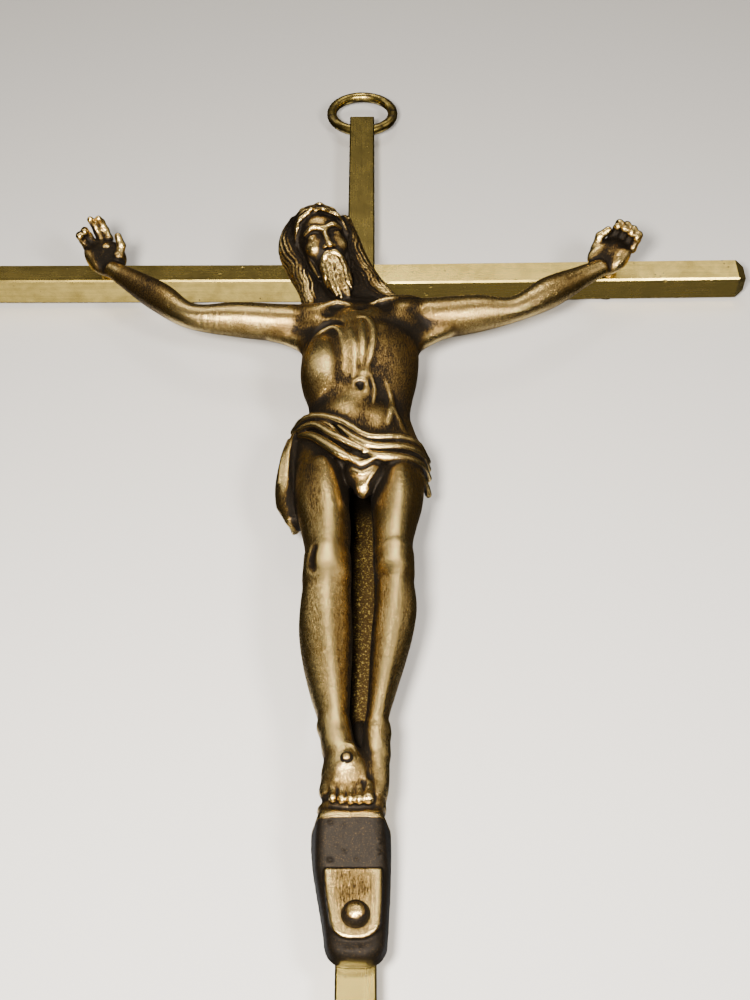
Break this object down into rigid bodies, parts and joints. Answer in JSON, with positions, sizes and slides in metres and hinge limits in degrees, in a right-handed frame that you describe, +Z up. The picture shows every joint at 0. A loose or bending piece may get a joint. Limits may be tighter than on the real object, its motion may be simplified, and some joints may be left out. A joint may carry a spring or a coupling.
{
  "type": "wall crucifix",
  "caption": "Small square-bar brass crucifix: cast antiqued figure with loincloth and foot block riveted on, loose hanging ring at the top.",
  "frame": {"origin": "on the upright's back face, at the height where the arms cross it", "axes": "+Z up along the upright, +Y back towards the wall, +X to the viewer's right; the figure faces -Y"},
  "size_m": [0.1778, 0.025, 0.3187],
  "materials": {
    "brass_bar": "brushed, lacquered, lightly worn",
    "antique_bronze": "antiqued casting, dark in the hollows and rubbed bright on the high parts",
    "ring_brass": "polished wire",
    "steel": "turned"
  },
  "bodies": {
    "cross": {"upright_bar": "brass_bar", "left_arm": "brass_bar", "right_arm": "brass_bar", "crossbar_stud": "steel", "corpus": "antique_bronze", "foot_rivet": "antique_bronze", "left_hand_nail": "antique_bronze", "right_hand_nail": "antique_bronze", "foot_nail": "antique_bronze"},
    "ring": {"hanging_ring": "ring_brass"}
  },
  "joints": [
    {"name": "ring_swing", "type": "hinge", "parent": "cross", "child": "ring", "pos_m": [0, -0.00305, 0.0637], "axis": [1, 0, 0], "range_deg": [-160, 160]}
  ]
}
